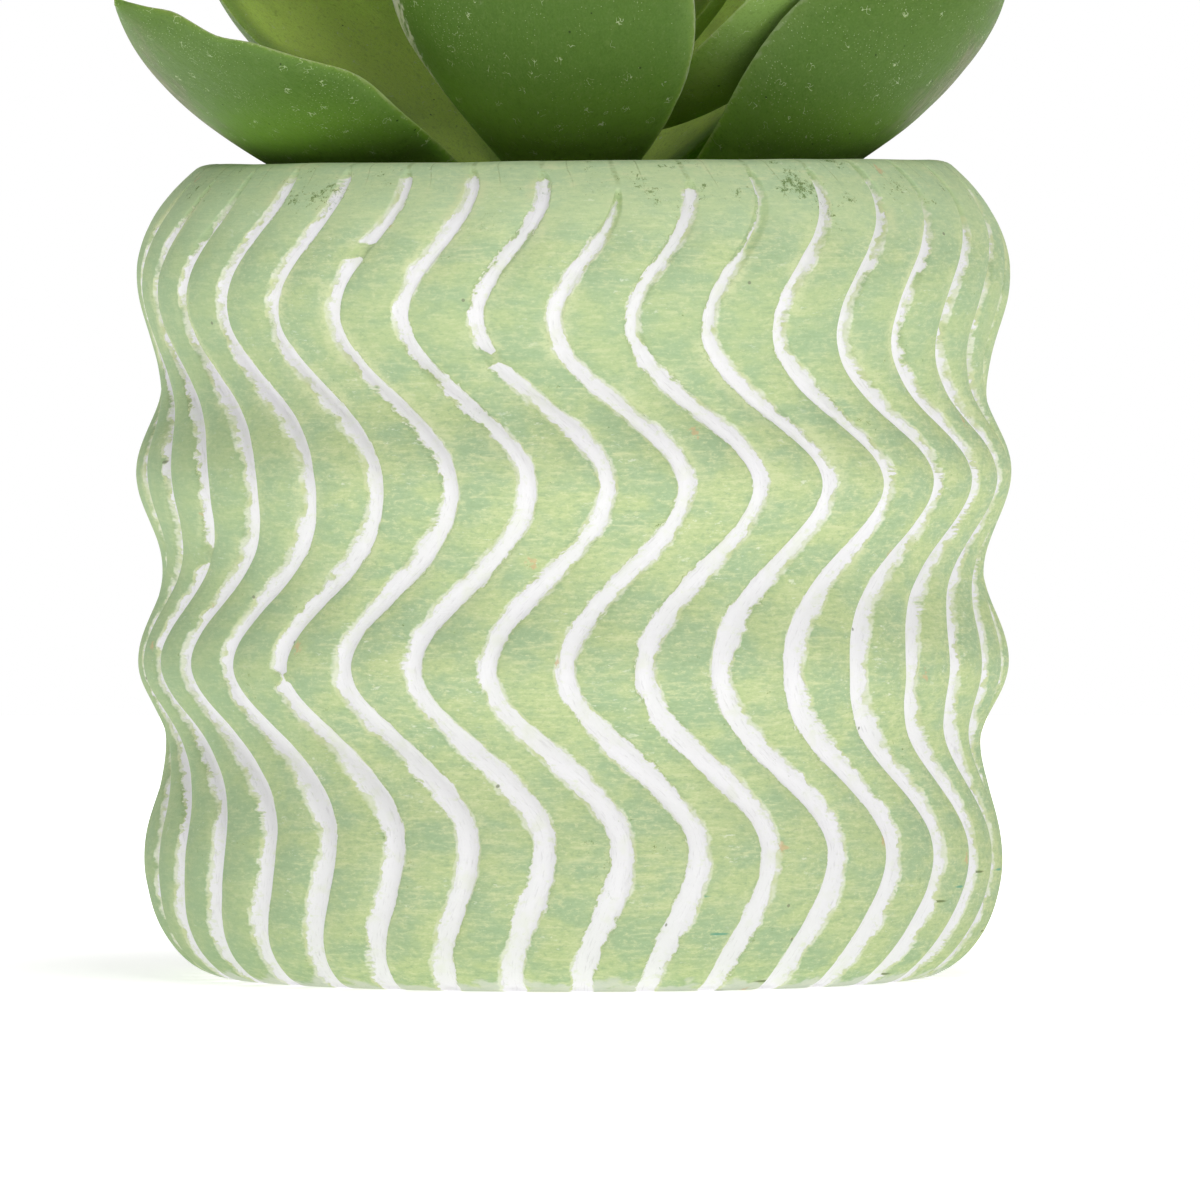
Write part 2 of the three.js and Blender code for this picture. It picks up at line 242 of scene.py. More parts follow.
HEART_FORM = dict(azimuth=0, z=104.5, rise=88, tip_rise=92, length=19, width=6.5, base=0.5,
                  widest=0.5, cup=0, thick=4.2, seat=0)


# --- small tools

MOST_CUTS = 100  # that one subdivide makes along an edge


def ease(t):
    """A smooth swing from 0 to 1 while t goes from 0 to 1."""
    return 0.5 - 0.5 * np.cos(math.pi * np.clip(t, 0, 1))


def eased_line(points, z):
    """Value at z on the smooth line through the listed (height, value) points."""
    heights, values = np.array(points, float).T
    after = np.clip(np.searchsorted(heights, z), 1, len(heights) - 1)
    share = (z - heights[after - 1]) / (heights[after] - heights[after - 1])
    return values[after - 1] + (values[after] - values[after - 1]) * ease(share)


def noise_at(places, size, seed):
    """Smooth noise from about -1 to 1 at each of the places, with humps about size across."""
    shift = Vector((17.3 * seed, -9.1 * seed, 5.7 * seed))
    flat = np.asarray(places, float).reshape(-1, 3) / size
    found = [noise.noise(Vector(p) + shift) for p in flat]
    return np.array(found).reshape(np.shape(places)[:-1])


def round_axis(r, turn, z):
    """Places at these radii, turned round the pot's axis from its front."""
    return np.stack([r * np.sin(turn), -r * np.cos(turn), z], 1)


def polar(r, a, z):
    """Places at these radii, angles and heights."""
    return np.stack([r * np.cos(a), r * np.sin(a), z], -1)


def pick(piece, wanted):
    """In edit mode, selects only the vertices whose place wanted() says yes to."""
    bpy.ops.object.mode_set(mode="EDIT")
    bpy.ops.mesh.select_mode(type="VERT")
    cage = bmesh.from_edit_mesh(piece.data)
    for vertex in cage.verts:
        vertex.select_set(wanted(vertex.co))
    cage.select_flush_mode()
    bmesh.update_edit_mesh(piece.data)


def tube_blank(name, sides, rows):
    """A tube of radius 1, as long as it has rows, cut into rows and pinched shut at both ends."""
    bpy.ops.object.select_all(action="DESELECT")
    bpy.ops.mesh.primitive_cylinder_add(
        vertices=sides, radius=1, depth=rows, end_fill_type="NOTHING", location=(0, 0, rows / 2))
    piece = bpy.context.object
    piece.name = name
    bpy.ops.object.transform_apply()
    parts = 2 if rows > MOST_CUTS else 1
    for cuts in [1] * (parts - 1) + [rows // parts - 1]:
        bpy.ops.object.mode_set(mode="EDIT")
        bpy.ops.mesh.select_mode(type="EDGE")
        cage = bmesh.from_edit_mesh(piece.data)
        for edge in cage.edges:
            low, high = edge.verts
            edge.select_set(abs(low.co.z - high.co.z) > 0.5)
        bmesh.update_edit_mesh(piece.data)
        bpy.ops.mesh.subdivide(number_cuts=cuts)
    for end in (0, rows):
        pick(piece, lambda place: abs(place.z - end) < 0.1)
        bpy.ops.mesh.merge(type="CENTER")
    bpy.ops.object.mode_set(mode="OBJECT")
    bpy.ops.object.shade_smooth()
    return piece


def places_of(piece):
    places = np.empty(3 * len(piece.data.vertices))
    piece.data.vertices.foreach_get("co", places)
    return places.reshape(-1, 3)


def place_all(piece, places):
    """Moves the vertices of piece to these places, in millimetres."""
    piece.data.vertices.foreach_set("co", (np.asarray(places) * MM).ravel())
    piece.data.update()


def rows_and_turns(piece, rows):
    """For each vertex of a blank: its row, its angle round the blank, and False at a pinched end."""
    x, y, z = places_of(piece).T
    row = np.rint(z).astype(int)
    open_here = (row > 0) & (row < rows)
    return row, np.arctan2(y, x), open_here


def mark(piece, name, values):
    """Stores a number, or three, at each vertex for the piece's coat to read."""
    values = np.asarray(values, np.float32)
    kind, key = ("FLOAT_VECTOR", "vector") if values.ndim == 2 else ("FLOAT", "value")
    piece.data.attributes.new(name, kind, "POINT").data.foreach_set(key, values.ravel())


def fit_out(piece, node, material):
    """Gives a finished piece its material, and lets it stand for its node."""
    piece.data.materials.append(material)
    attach(piece, "root")
    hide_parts(node)


def srgb(red, green, blue):
    """The linear colour that a screen shows as these numbers from 0 to 255."""
    linear = [c / 12.92 if c <= 0.04045 else ((c + 0.055) / 1.055) ** 2.4
              for c in (red / 255, green / 255, blue / 255)]
    return (*linear, 1.0)


class Coat:
    """A material, with the few kinds of node that the coats here are mixed from."""

    def __init__(self, name):
        self.material = bpy.data.materials.new(name)
        self.material.use_nodes = True
        self.tree = self.material.node_tree
        self.shader = self.tree.nodes["Principled BSDF"]
        where = self.tree.nodes.new("ShaderNodeTexCoord").outputs["Object"]
        self.place = self.vector("MULTIPLY", where, (1 / MM,) * 3)  # in millimetres

    def put(self, socket, value):
        if isinstance(value, bpy.types.NodeSocket):
            self.tree.links.new(value, socket)
        else:
            socket.default_value = value

    def node(self, kind, inputs=(), **settings):
        made = self.tree.nodes.new("ShaderNode" + kind)
        for key, value in settings.items():
            setattr(made, key, value)
        for key, value in dict(inputs).items():
            self.put(made.inputs[key], value)
        return made

    def vector(self, operation, *values):
        return self.node("VectorMath", dict(enumerate(values)), operation=operation).outputs[0]

    def stretch(self, x, y, z, place=None):
        return self.vector("MULTIPLY", place or self.place, (x, y, z))

    def gather(self, x=0.0, y=0.0, z=0.0):
        return self.node("CombineXYZ", {0: x, 1: y, 2: z}).outputs[0]

    def split(self, vector):
        return self.node("SeparateXYZ", {0: vector}).outputs

    def math(self, operation, *values):
        return self.node("Math", dict(enumerate(values)), operation=operation).outputs[0]

    def add(self, *values):
        return reduce(lambda total, value: self.math("ADD", total, value), values)

    def times(self, *values):
        return reduce(lambda total, value: self.math("MULTIPLY", total, value), values)

    def rise(self, value, start, end, low=0.0, high=1.0):
        """Goes smoothly from low to high while value goes from start to end."""
        if start > end:
            start, end, low, high = end, start, high, low
        inputs = {"Value": value, "From Min": start, "From Max": end, "To Min": low, "To Max": high}
        return self.node("MapRange", inputs, interpolation_type="SMOOTHSTEP").outputs["Result"]

    def noise(self, place, scale, detail=2.0, roughness=0.5):
        inputs = {"Vector": place, "Scale": scale, "Detail": detail, "Roughness": roughness}
        return self.node("TexNoise", inputs).outputs["Fac"]

    def swing(self, place, scale, size, detail=2.0):
        """Noise from about -size to size."""
        return self.rise(self.noise(place, scale, detail), 0.25, 0.75, -size, size)

    def cells(self, place, scale):
        inputs = {"Vector": place, "Scale": scale, "Randomness": 1.0}
        return self.node("TexVoronoi", inputs, voronoi_dimensions="2D").outputs

    def mix(self, share, first, second):
        made = self.node("Mix", data_type="RGBA")
        for index, value in ((0, share), (6, first), (7, second)):
            self.put(made.inputs[index], value)
        return made.outputs[2]

    def read(self, name):
        """The outputs that give what mark() stored."""
        return self.node("Attribute", attribute_name=name).outputs

    def bump(self, height, distance):
        return self.node("Bump", {"Height": height, "Distance": distance * MM}).outputs[0]

    def set(self, **inputs):
        """Sets sockets of the shader, named as roughness or specular_ior_level."""
        for key, value in inputs.items():
            self.put(self.shader.inputs[key.replace("_", " ").title().replace("Ior", "IOR")], value)
        return self.material


# --- colours

# Green paint: its patches, its streaks, and where it is thin, thick or worn; and painted light: a
# highlight towards the rim, shade in a crease and along the lips.
MINT = srgb(165, 189, 148)
LEAF_GREEN = srgb(186, 202, 148)
STRAW = srgb(208, 215, 167)
DEEP_GREEN = srgb(156, 180, 137)
# painted highlight for the shoulder and rim, which face the light from above
RIM_HIGHLIGHT_GREEN = srgb(202, 225, 178)
THIN_PAINT = srgb(224, 229, 207)
YELLOW_PAINT = srgb(206, 215, 168)
# partly paint standing thick, partly painted shade along the lips of the grooves
THICK_EDGE_AND_SHADE = srgb(138, 158, 104)
# painted shade for a faint crease above the grooves
CREASE_SHADE = srgb(140, 160, 108)
WORN_FOOT = srgb(214, 216, 208)

# White plaster in the grooves.
PLASTER = srgb(238, 237, 239)
SCRATCH = srgb(206, 204, 206)
GREEN_WASH = srgb(228, 232, 212)
PAINT_FLECK = srgb(210, 219, 182)

# Small marks on the pot.
SPECK = srgb(94, 120, 50)
RUST = srgb(208, 176, 134)
TEAL_INK = srgb(92, 160, 136)
OLIVE_INK = srgb(96, 112, 62)
PINHOLE_SHADE = srgb(122, 128, 104)

# Leaves: root (painted light), body, pale edges and inner side (partly painted light) of each whorl,
# then what lies on them.
OUTER_WAX = [srgb(119, 162, 52), srgb(81, 113, 39), srgb(106, 131, 70), srgb(192, 218, 94)]
MIDDLE_WAX = [srgb(140, 172, 66), srgb(122, 154, 74), srgb(128, 154, 86), srgb(172, 198, 82)]
INNER_WAX = [srgb(106, 140, 44), srgb(108, 146, 54), srgb(138, 168, 90), srgb(156, 184, 72)]
BUD_WAX = [srgb(118, 150, 56), srgb(122, 158, 64), srgb(152, 180, 100), srgb(156, 182, 80)]
DARK_GRAIN = srgb(58, 84, 20)
DARK_MOTTLE = srgb(66, 94, 24)
SEAM_WHITE = srgb(180, 184, 156)
# rubbed streaks: dark scratches, and a pale one that is a painted grey sheen
SHEEN_AND_RUB_DARK = srgb(84, 96, 56)
SHEEN_AND_RUB_PALE = srgb(132, 128, 100)
DUST = srgb(176, 190, 142)
FIBRE = srgb(190, 202, 160)
PIT_SHADE = srgb(30, 42, 12)

# Filling and stem.
SOIL_DARK = srgb(40, 31, 24)
SOIL_BROWN = srgb(92, 74, 56)
GRIT = srgb(150, 140, 120)
STEM_GREEN = srgb(96, 104, 58)
STEM_PALE = srgb(140, 146, 92)


# --- the pot

def pot_radius(z):
    """Outer radius of the pot on the crests between its grooves."""
    (low_top, low_radius), (high_foot, high_radius) = BULGES[0], BULGES[-1]
    corner = np.clip(1 - z / CORNER_HEIGHT, 0, 1)
    low = FOOT_RADIUS + (low_radius - FOOT_RADIUS) * (1 - corner**2) ** CORNER_ROUNDNESS
    shoulder = np.clip((z - high_foot) / SHOULDER_HEIGHT, 0, 1)
    high = RIM_RADIUS + (high_radius - RIM_RADIUS) * (1 - shoulder**SHOULDER_ROUNDNESS)
    middle = eased_line(BULGES, np.clip(z, low_top, high_foot))
    return np.where(z < low_top, low, np.where(z > high_foot, high, middle))


def even_steps(curve, count):
    """count + 1 points along a line of many points, evenly far apart."""
    gone = np.concatenate([[0], np.cumsum(np.hypot(*np.diff(curve, axis=0).T))])
    marks = np.linspace(0, gone[-1], count + 1)
    return np.stack([np.interp(marks, gone, side) for side in curve.T], 1)


def pot_profile():
    """Radius and height of each row: the foot, up the wall, over the lip, and down inside."""
    heights = np.linspace(0, 1, PROFILE_POINTS) ** FOOT_CROWDING * LIP_START
    wall = even_steps(np.stack([pot_radius(heights), heights], 1), WALL_ROWS)
    start, end = wall[-1], np.array([MOUTH_RADIUS, LIP_END])
    out, over = LIP_PULLS
    t = np.linspace(0, 1, LIP_ROWS + 1)[1:, None]
    lip = start * (1 - t) ** 3 + 3 * out * t * (1 - t) ** 2 + 3 * over * t**2 * (1 - t) + end * t**3
    inside = [(MOUTH_RADIUS - MOUTH_DRAFT * k, LIP_END - MOUTH_SINK * k)
              for k in range(1, MOUTH_ROWS + 1)]
    floor = [(FLOOR_RADIUS + INNER_CORNER, INNER_CORNER_TOP),
             (FLOOR_RADIUS, FLOOR_THICKNESS + INNER_CORNER),
             (FLOOR_RADIUS - INNER_CORNER, FLOOR_THICKNESS), (0, FLOOR_THICKNESS)]
    return np.concatenate([FOOT, wall, lip, inside, floor])


def pot():
    """The pot, its grooves cut, and marked for the paint."""
    profile = pot_profile()
    rows = len(profile) - 1
    columns = 2 * len(LIP_COLUMNS) + 4  # to each groove and its rib
    sides = GROOVES * columns
    piece = tube_blank("pot_cast", sides, rows)
    row, angle, open_here = rows_and_turns(piece, rows)
    column = np.rint(angle / TURN * sides).astype(int) % sides
    groove = (column + columns // 2) // columns
    offset = (column + columns // 2) % columns - columns // 2  # columns from the groove's middle
    r, z = profile[row].T
    first_on_wall = len(FOOT)
    on_wall = (row >= first_on_wall) & (row <= first_on_wall + WALL_ROWS + LIP_ROWS)

    # Half width of each groove, and how it comes to a point at its top.
    groove_angle = groove * TURN / GROOVES
    about = polar(20, groove_angle, z)
    level = about * (1, 1, 0)
    half = PAINT_REACH + 0.5 * np.interp(z, *np.transpose(WHITE_WIDTHS))
    half = half * (1 + WIDTH_DRIFT * noise_at(about, 9, 1))
    top = GROOVE_TOP + TOP_DRIFT * noise_at(level, 6, 4)
    least, most = GROOVE_TAPERS
    point = least + (most - least) * np.clip(0.5 + noise_at(level, 5, 9), 0, 1)
    for which, (height, length) in FRONT_TOPS.items():
        same = groove % GROOVES == which % GROOVES
        top, point = np.where(same, height, top), np.where(same, length, point)
    taper = np.clip((top - z) / point, 0, 1) ** 0.6
    half = half * (POINT_WIDTH + (1 - POINT_WIDTH) * taper)
    side = np.sign(offset)
    own_lip = np.stack([about[:, 0], about[:, 1] + 40 * side, z], 1)  # nicks differ from side to side
    half = half + LIP_NICKS * noise_at(own_lip, 2.2, 2)

    # Where each column of faces lies across its groove, from its middle outwards.
    middle = np.radians(eased_line(GROOVE_TURNS, z))
    above = np.radians(eased_line(GROOVE_TURNS, np.minimum(z + 0.2, POT_HEIGHT)))
    below = np.radians(eased_line(GROOVE_TURNS, np.maximum(z - 0.2, 0)))
    slant = np.hypot(1, (above - below) / 0.4 * r)  # wider round the pot where it slants
    pitch = TURN * np.maximum(r, 20) / GROOVES
    lip = half * slant
    rib = pitch / 2 - lip * LIP_COLUMNS[-1]
    shares = np.array([0, *LIP_COLUMNS])
    steps = np.abs(offset)
    on_lip = steps < len(shares)
    across = np.where(on_lip, lip * shares[np.minimum(steps, len(shares) - 1)],
                      lip * LIP_COLUMNS[-1] + rib * np.where(steps == len(shares), 0.5, 1.0))
    wander = GROOVE_WANDER * noise_at(about, 14, 3)
    turn = groove_angle + middle + (side * across + wander) / np.maximum(r, 20)

    # How deep each point lies under the crest.
    x = across / lip
    carved = ease((top - z) / TOP_FADE)
    gouge = 1 - ease((x - GOUGE_FLAT) / GOUGE_WALL)
    gouge = gouge * (1 - GOUGE_DISH + GOUGE_DISH * np.cos(x * math.pi / 2))
    filled = np.zeros(len(z))
    for which, height, reach, strength in BRIDGES:
        same = groove % GROOVES == which % GROOVES
        filled = np.maximum(filled, same * strength * np.exp(-((z - height) / reach) ** 4))
    depth = GROOVE_DEPTH * (1 + DEPTH_DRIFT * noise_at(about, 7, 5)) * carved * ease(z / FOOT_FADE)
    depth = depth * gouge * (1 - BRIDGE_FILL * np.clip(filled, 0, 1))
    rib_share = np.clip((across - lip) / (pitch / 2 - lip), 0, 1)
    at_rim, at_foot = CROWN_FADES
    crown = RIB_CROWN * (1 - rib_share) ** 2 * ease((POT_HEIGHT - z) / at_rim) * ease(z / at_foot)
    shape = round_axis(r, turn, z)
    wobble = POT_WOBBLE * (0.5 + 0.5 * noise_at(shape, 16, 6)) + POT_RIPPLE * noise_at(shape, 3.5, 7)
    outside = np.where(on_wall, depth + crown + wobble + POT_SKIN, 0)
    r = np.where(open_here, r - outside, 0)

    # The rim is a little uneven.
    low_side = 0.5 + 0.5 * np.cos(turn - RIM_LOW_SIDE)
    dip = RIM_DIP * low_side**1.5 + RIM_LUMPS * (1 + noise_at(shape * (1, 1, 0), 9, 8))
    z = z - dip * np.clip((z - RIM_DIP_START) / (POT_HEIGHT - RIM_DIP_START), 0, 1)
    place_all(piece, round_axis(r, turn, z))

    # How far inside the white each point lies, negative under the paint.
    white = half - PAINT_REACH - across / slant
    white = white - BRIDGE_PAINT * filled - POINT_PAINT * (1 - taper) - END_PAINT * (1 - carved)
    past_brush = np.where(row < first_on_wall, FOOT_PAINT - profile[row][:, 0], MOUTH_PAINT - z)
    past_brush = BRUSH_END * np.clip(past_brush, -BRUSH_FADE, BRUSH_FADE)
    white = np.where(on_wall, white, past_brush)
    mark(piece, "groove", np.stack([side * across / slant, profile[row][:, 1], white], 1))
    back_groove = (GROOVES + 1) // 2  # the unrolled wall is cut open in the middle of this one
    past_back = groove * columns + offset >= back_groove * columns
    unrolled = UNROLLED_RADIUS * (turn - TURN * past_back)
    mark(piece, "unrolled", np.stack([unrolled, profile[row][:, 1], 0 * z], 1))
    fit_out(piece, "pot", painted_plaster())


def painted_plaster():
    """Thin green paint, brushed over white plaster that shows in the grooves."""
    coat = Coat("painted_plaster")
    place = coat.place
    across, along, white = coat.split(coat.read("groove")["Vector"])
    side_x, side_y, height = coat.split(place)

    # The paint's edge is clean along some stretches of a lip, and thin and hairy on others.
    side = coat.math("SIGN", across)
    lips = coat.vector("ADD", place, coat.gather(z=coat.times(side, 45.0)))
    lean = coat.times(side, coat.rise(side_x, -25, 25, -0.09, 0.09))
    ragged = coat.rise(coat.add(coat.noise(lips, 0.085, 2), lean), 0.4, 0.6)
    washed = coat.rise(coat.noise(lips, 0.13, 2), 0.62, 0.74)
    combs = coat.rise(coat.noise(lips, 0.16, 2), 0.58, 0.68, 0.06, 0.6)
    hairs = coat.times(coat.swing(coat.stretch(0.7, 0.7, 4.0), 1.0, 1.2, 3), combs)
    scallops = coat.swing(coat.stretch(1, 1, 1.3, lips), 0.75, 1.0, 5)
    crumbs = coat.swing(coat.stretch(1, 1, 1.4), 2.2, 0.14, 3)
    ins_and_outs = coat.swing(lips, 0.3, 0.2, 2)
    upper_left = coat.times(coat.rise(side_x, 0, -25, 0, 0.12), coat.rise(height, 52, 66, -0.6, 1))

    # How far inside the white the paint's edge leaves each place, and how much paint lies there.
    edge = coat.add(white, ins_and_outs, crumbs, coat.times(scallops, 0.22),
                    coat.times(washed, -0.3), coat.times(ragged, -0.1), -0.19, upper_left)
    width = coat.add(coat.rise(ragged, 0, 1, 0.22, 0.52), coat.times(washed, 0.35))
    outward = coat.add(edge, coat.times(width, 0.3))
    film = coat.math("DIVIDE", outward, coat.times(width, -1.0))
    film = coat.add(film, coat.times(hairs, coat.rise(ragged, 0, 1, 0.1, 0.6)),
                    coat.times(scallops, 0.16), crumbs, 0.5)

    green = brushed_green(coat, side_x, height, across, edge, ragged, lips)
    plaster = bare_plaster(coat, side_x, side_y, across, along, edge, ragged)
    thin = coat.mix(coat.rise(coat.noise(place, 0.5, 3), 0.44, 0.64), THIN_PAINT, YELLOW_PAINT)
    colour = coat.mix(coat.rise(film, 0.22, 0.5), plaster, thin)
    colour = coat.mix(coat.rise(film, 0.55, 1.1), colour, green)
    bare = coat.rise(film, 0.6, 0.25)
    colour = small_marks(coat, side_x, height, colour, bare)

    surface = coat.noise(place, 2.4, 4, 0.6)
    strokes = coat.noise(coat.stretch(0.3, 0.3, 2.4), 2.0, 3, 0.5)
    relief = coat.add(coat.times(surface, 0.6), coat.times(strokes, 0.4),
                      coat.times(bare, -0.6))
    return coat.set(base_color=colour, roughness=0.85, normal=coat.bump(relief, 0.09),
                    specular_ior_level=0.25)


def brushed_green(coat, side_x, height, across, edge, ragged, lips):
    """Green in soft patches and streaks that run round the pot, thin and creamy beside the white."""
    place = coat.place
    patches = coat.noise(coat.stretch(0.16, 0.16, 0.3), 1.0, 5, 0.6)
    green = coat.mix(coat.rise(patches, 0.38, 0.62), MINT, LEAF_GREEN)
    streaks = coat.noise(coat.stretch(0.36, 0.36, 2.6), 0.8, 5, 0.7)
    green = coat.mix(coat.rise(streaks, 0.5, 0.7, 0, 0.75), green, STRAW)
    green = coat.mix(coat.rise(streaks, 0.48, 0.28, 0, 0.75), green, DEEP_GREEN)
    blots = coat.noise(coat.stretch(1, 1, 2.2), 1.2, 5, 0.8)
    green = coat.mix(coat.rise(blots, 0.48, 0.34, 0, 0.7), green, DEEP_GREEN)
    green = coat.mix(coat.rise(blots, 0.5, 0.66, 0, 0.75), green, STRAW)
    dabs = coat.times(coat.rise(coat.noise(coat.stretch(0.8, 0.8, 2.0), 1.0, 4, 0.7), 0.6, 0.7),
                      coat.rise(coat.noise(place, 0.12, 2), 0.45, 0.62))
    green = coat.mix(coat.times(dabs, 0.75), green, THIN_PAINT)

    # Darker on the left, which is painted shade away from the key lamp, and in a band under the
    # shoulder.
    band = coat.times(coat.rise(height, 56, 66, 0, 0.25), coat.rise(height, 76, 70))
    left_shade_and_band = coat.math("MAXIMUM", coat.rise(side_x, -18, -44, 0, 0.6), band)
    green = coat.mix(left_shade_and_band, green, DEEP_GREEN)
    # A painted highlight: paler towards the rim, where the shoulder faces the light from above.
    green = coat.mix(coat.rise(height, 73, 79, 0, 0.42), green, RIM_HIGHLIGHT_GREEN)

    # Wider halos of thin paint here and there.
    wide = coat.rise(coat.noise(lips, 0.1, 2), 0.5, 0.64)
    halo = coat.times(coat.rise(edge, -1.7, -0.3), wide, coat.rise(height, 20, 75, 0.35, 0.9),
                      coat.rise(blots, 0.35, 0.55, 0.35, 1.0))
    green = coat.mix(halo, green, YELLOW_PAINT)

    # Where the edge is clean, the paint stands a little thick and dark along the lip, with painted shade
    # too.
    line = coat.times(coat.rise(edge, -0.28, -0.14), coat.rise(ragged, 0.4, 0.0, 0, 0.65),
                      coat.rise(blots, 0.58, 0.44, 0.3, 1.0))
    green = coat.mix(line, green, THICK_EDGE_AND_SHADE)

    # Painted shade stands for a faint crease from a groove's top to the rim, where some thin paint runs
    # on.
    near = coat.rise(coat.math("ABSOLUTE", across), 0.4, 0.08)
    painted_crease = coat.times(near, coat.rise(height, 80, 81.5), coat.rise(blots, 0.4, 0.55, 0.1, 0.6))
    green = coat.mix(painted_crease, green, CREASE_SHADE)
    near = coat.rise(coat.math("ABSOLUTE", across), 2.2, 0.6)
    cream = coat.times(near, coat.rise(height, 79, 81), coat.rise(streaks, 0.5, 0.66, 0, 0.6))
    green = coat.mix(cream, green, YELLOW_PAINT)

    # The foot's edge is worn and dusty.
    worn = coat.rise(coat.add(height, coat.swing(place, 0.5, 0.7, 4)), 1.3, 0.5, 0, 0.7)
    return coat.mix(worn, green, WORN_FOOT)


def bare_plaster(coat, side_x, side_y, across, along, edge, ragged):
    """White plaster with faint scratches along the groove, and flecks of paint near its edges."""
    drift = coat.add(coat.times(side_x, 0.13), coat.times(side_y, 0.17))
    down_groove = coat.gather(coat.times(across, 5.0), coat.times(along, 0.7), drift)
    scratches = coat.noise(down_groove, 1.0, 4, 0.7)
    white = coat.mix(coat.rise(scratches, 0.55, 0.7, 0, 0.5), PLASTER, SCRATCH)
    wash = coat.rise(coat.noise(coat.place, 0.35, 3), 0.55, 0.7, 0, 0.35)
    white = coat.mix(wash, white, GREEN_WASH)
    flecks = coat.times(coat.rise(coat.noise(coat.place, 1.7, 3, 0.6), 0.57, 0.68),
                        coat.rise(edge, 0.7, 0.1), coat.rise(ragged, 0, 1, 0.1, 0.4))
    smears = coat.noise(coat.stretch(0.5, 0.5, 1.0), 1.0, 4, 0.7)
    smears = coat.times(coat.rise(smears, 0.56, 0.7), coat.rise(edge, 1.1, 0.3), 0.7)
    white = coat.mix(smears, white, THIN_PAINT)
    return coat.mix(flecks, white, PAINT_FLECK)


def small_marks(coat, side_x, height, colour, bare):
    """Dark specks in clusters, a few rusty spots, thin teal and olive marks, and pinholes painted as
    shade.
    """
    place = coat.place
    unrolled = coat.read("unrolled")["Vector"]
    painted = coat.rise(bare, 0.6, 0.1)

    clusters = coat.noise(place, 0.22, 3, 0.6)
    level = coat.add(coat.rise(clusters, 0.48, 0.7, -0.1, 0.05), coat.rise(height, 75, 81, 0, 0.1),
                     coat.noise(place, 1.5, 6, 0.85))
    specks = coat.times(coat.rise(level, 0.63, 0.69), coat.rise(painted, 0, 1, 0.5, 1.0))
    colour = coat.mix(coat.times(specks, 0.8), colour, SPECK)

    rust = coat.cells(unrolled, 0.075)
    spot = coat.add(rust["Distance"], coat.swing(place, 2.2, 0.03))
    chosen = coat.rise(coat.split(rust["Color"])[0], 0.55, 0.56)
    spot = coat.times(coat.rise(spot, 0.045, 0.01), chosen, painted, 0.65)
    colour = coat.mix(spot, colour, RUST)

    # Thin marks, more of them low down on the right.
    marks = coat.cells(coat.stretch(0.09, 0.8, 1, unrolled), 1.0)
    corner = coat.times(coat.rise(height, 18, 10), coat.rise(side_x, 4, 16))
    tone = coat.split(marks["Color"])
    chosen = coat.rise(coat.add(tone[1], corner), 1.68, 1.7)
    mark_share = coat.times(coat.rise(marks["Distance"], 0.14, 0.05), chosen, painted, 0.8)
    ink = coat.mix(coat.rise(tone[0], 0.5, 0.52), TEAL_INK, OLIVE_INK)
    colour = coat.mix(mark_share, colour, ink)

    # Pinholes, painted dark as the shade inside them.
    holes = coat.cells(unrolled, 0.09)
    chosen = coat.rise(coat.split(holes["Color"])[2], 0.82, 0.83)
    pinhole_shade = coat.times(coat.rise(holes["Distance"], 0.02, 0.01), chosen, 0.75)
    return coat.mix(pinhole_shade, colour, PINHOLE_SHADE)


# --- the leaves

def leaf_outline(s, base, widest):
    """Half width along a leaf, as a share of its greatest half width."""
    t = np.clip(s / widest, 0, 1)
    swelling = SWELL_EASE * ease(t) + (1 - SWELL_EASE) * np.sin(math.pi / 2 * t)
    u = np.clip((s - widest) / (1 - widest), 0, 1)
    point = np.minimum(1, POINT_STUMP + (1 - POINT_STUMP) * (1 - u) / (1 - POINT_START))
    return np.where(s < widest, base + (1 - base) * swelling, (1 - u**OUTLINE_ROUNDNESS) * point)


def leaf_thickness(s):
    """Thickness along a leaf, as a share of its greatest thickness."""
    low = ROOT_THICKNESS + (1 - ROOT_THICKNESS) * np.sin(math.pi / 2 * s / THICKEST)
    high = 1 - TIP_THINNING * np.clip((s - THICKEST) / (1 - THICKEST), 0, 1) ** THINNING_CURVE
    return np.where(s < THICKEST, low, high)


